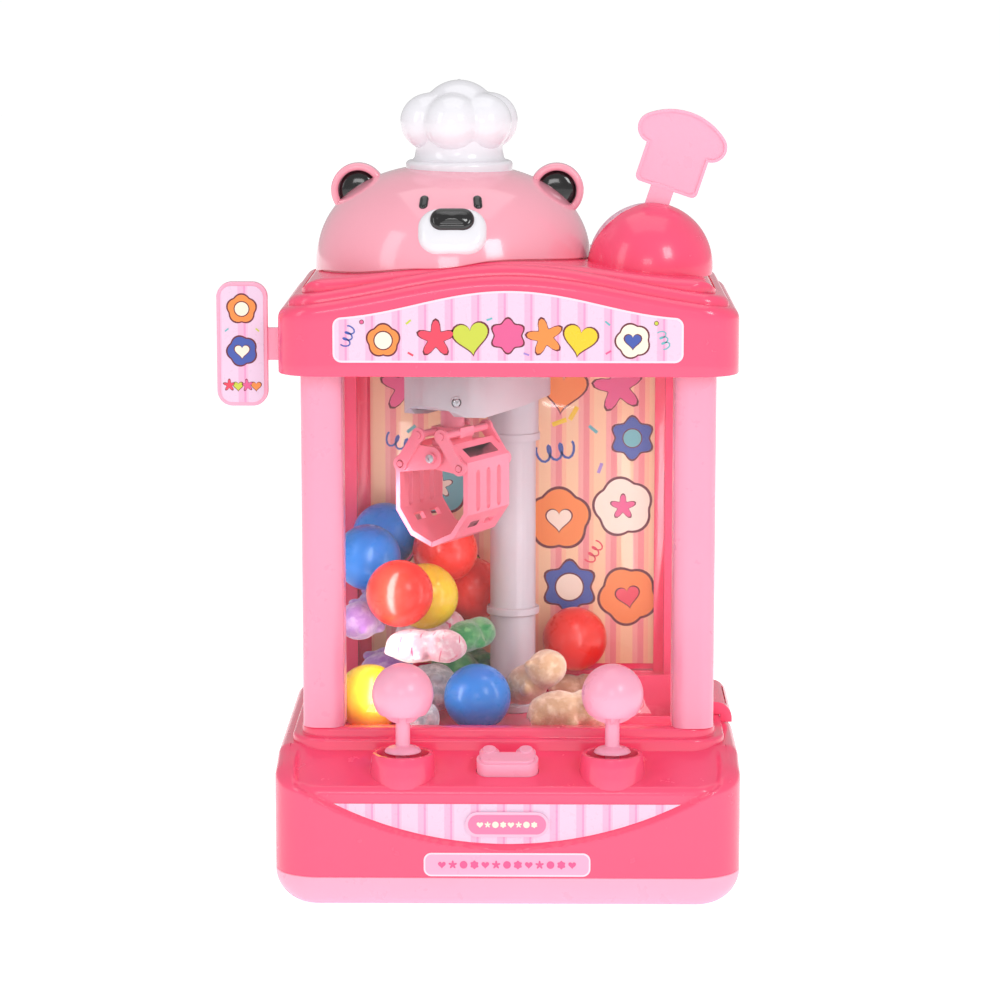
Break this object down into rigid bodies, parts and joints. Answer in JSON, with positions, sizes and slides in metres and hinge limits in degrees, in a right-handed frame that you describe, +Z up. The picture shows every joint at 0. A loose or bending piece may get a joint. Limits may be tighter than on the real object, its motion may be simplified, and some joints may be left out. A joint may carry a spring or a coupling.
{
  "type": "toy claw crane machine",
  "caption": "Tabletop toy claw crane: glazed cabin on a base with joysticks, turning mast with lifting claw arm, animal-head roof, loose prizes inside.",
  "frame": {"origin": "middle of the flat underside of the base tray", "axes": "+Z up along the machine's height, -Y towards the player, +X to the player's right, where the prize outlet is"},
  "size_m": [0.2734, 0.2105, 0.42],
  "materials": {
    "deep_pink_plastic": "smooth gloss",
    "pale_pink_plastic": "smooth gloss",
    "coral_plastic": "satin gloss",
    "grey_plastic": "satin gloss",
    "white_plastic": "smooth gloss",
    "black_plastic": "smooth gloss",
    "dark_plastic": "matte",
    "gear_plastic": "matte",
    "clear_plastic": "clear, polished",
    "label_print": "printed film, pink and lilac stripes",
    "back_print": "printed sheet, pale orange and cream stripes",
    "steel": "bright",
    "battery_case": "gloss",
    "motor_case": "satin",
    "circuit": "lacquered",
    "ball_plastic": "thin moulded balls in red, blue and yellow",
    "plush_fabric": "short-pile plush in tan, pink, green and lilac"
  },
  "bodies": {
    "case": {"base_tray": "pale_pink_plastic", "case_screws": "steel", "battery_door": "pale_pink_plastic", "battery_cells": "battery_case", "circuit_board": "circuit", "base_housing": "deep_pink_plastic", "joystick_collars": "deep_pink_plastic", "smile_label": "label_print", "front_plates": "pale_pink_plastic", "cabin_floor": "deep_pink_plastic", "prize_chute": "deep_pink_plastic", "outlet_hood": "deep_pink_plastic", "column_front_left": "pale_pink_plastic", "column_front_right": "pale_pink_plastic", "column_rear_left": "deep_pink_plastic", "column_rear_right": "deep_pink_plastic", "window_front": "clear_plastic", "window_left": "clear_plastic", "window_right": "clear_plastic", "ceiling_panel": "deep_pink_plastic", "roof_hood": "deep_pink_plastic", "roof_cap": "deep_pink_plastic", "header_label": "label_print", "bear_head": "pale_pink_plastic", "bear_ears": "pale_pink_plastic", "bear_muzzle": "white_plastic", "bear_features": "black_plastic", "chef_hat": "white_plastic", "speaker_dome": "deep_pink_plastic", "speaker": "dark_plastic", "toast_sign": "pale_pink_plastic", "side_sign": "pale_pink_plastic", "side_label": "label_print", "slew_motor": "motor_case", "prize_balls_low": "ball_plastic", "prize_balls_high": "ball_plastic", "plush_low": "plush_fabric", "plush_high": "plush_fabric"},
    "door": {"back_door": "deep_pink_plastic", "back_print": "back_print"},
    "flap": {"prize_flap": "pale_pink_plastic"},
    "mast": {"mast_tube": "grey_plastic", "slew_gear": "gear_plastic"},
    "pinion": {"slew_pinion": "gear_plastic"},
    "arm": {"arm_housing": "grey_plastic", "arm_cover": "grey_plastic", "lift_motor": "motor_case", "claw_yoke": "coral_plastic"},
    "plunger": {"claw_plunger": "coral_plastic", "link_left": "coral_plastic", "link_right": "coral_plastic"},
    "jaw_l": {"jaw_left": "coral_plastic"},
    "jaw_r": {"jaw_right": "coral_plastic"},
    "go": {"go_button": "pale_pink_plastic"},
    "stick_l": {"stick_left": "pale_pink_plastic"},
    "stick_r": {"stick_right": "pale_pink_plastic"},
    "switch": {"power_switch": "dark_plastic"}
  },
  "joints": [
    {"name": "mast_slew", "type": "hinge", "parent": "case", "child": "mast", "pos_m": [0.0015, 0.04, 0.07], "axis": [0, 0, -1], "range_deg": [-107, 21]},
    {"name": "slew_pinion_turn", "type": "hinge", "parent": "case", "child": "pinion", "pos_m": [-0.0339, 0.04, 0.064], "axis": [0, 0, -1], "range_deg": [-84, 428]},
    {"name": "arm_lift", "type": "slide", "parent": "mast", "child": "arm", "axis": [0, 0, 1], "range_m": [-0.059, 0], "deforming": ["prize_balls_high", "plush_high"]},
    {"name": "jaw_left_swing", "type": "hinge", "parent": "arm", "child": "jaw_l", "pos_m": [-0.03001, -0.01685, 0.2235], "axis": [0.4848, 0.8746, 0], "range_deg": [0, 30]},
    {"name": "jaw_right_swing", "type": "hinge", "parent": "arm", "child": "jaw_r", "pos_m": [-0.03001, -0.01685, 0.2235], "axis": [0.4848, 0.8746, 0], "range_deg": [-30, 0]},
    {"name": "claw_plunger_slide", "type": "slide", "parent": "arm", "child": "plunger", "axis": [0, 0, 1], "range_m": [0, 0.0095]},
    {"name": "stick_left_tilt", "type": "hinge", "parent": "case", "child": "stick_l", "pos_m": [-0.0543, -0.085, 0.058], "axis": [0, 1, 0], "range_deg": [-12, 12], "stiffness_Nm_per_rad": 0.06},
    {"name": "stick_right_tilt", "type": "hinge", "parent": "case", "child": "stick_r", "pos_m": [0.0543, -0.085, 0.058], "axis": [1, 0, 0], "range_deg": [-12, 12], "stiffness_Nm_per_rad": 0.06},
    {"name": "go_press", "type": "slide", "parent": "case", "child": "go", "axis": [0, 0.2998, -0.954], "range_m": [0, 0.0025], "stiffness_N_per_m": 250, "springref_m": -0.002},
    {"name": "prize_flap_swing", "type": "hinge", "parent": "case", "child": "flap", "pos_m": [0.1145, 0.023, 0.07], "axis": [0, -1, 0], "range_deg": [0, 65]},
    {"name": "back_door_swing", "type": "hinge", "parent": "case", "child": "door", "pos_m": [-0.082, 0.0865, 0.18], "axis": [0, 0, 1], "range_deg": [0, 110]},
    {"name": "power_switch_slide", "type": "slide", "parent": "case", "child": "switch", "axis": [1, 0, 0], "range_m": [0, 0.006]}
  ],
  "couplings": [
    {"joint": "slew_pinion_turn", "follows": "mast_slew", "ratio": -4},
    {"joint": "jaw_left_swing", "follows": "claw_plunger_slide", "rad_per_m": 55.116},
    {"joint": "jaw_right_swing", "follows": "claw_plunger_slide", "rad_per_m": -55.116}
  ]
}
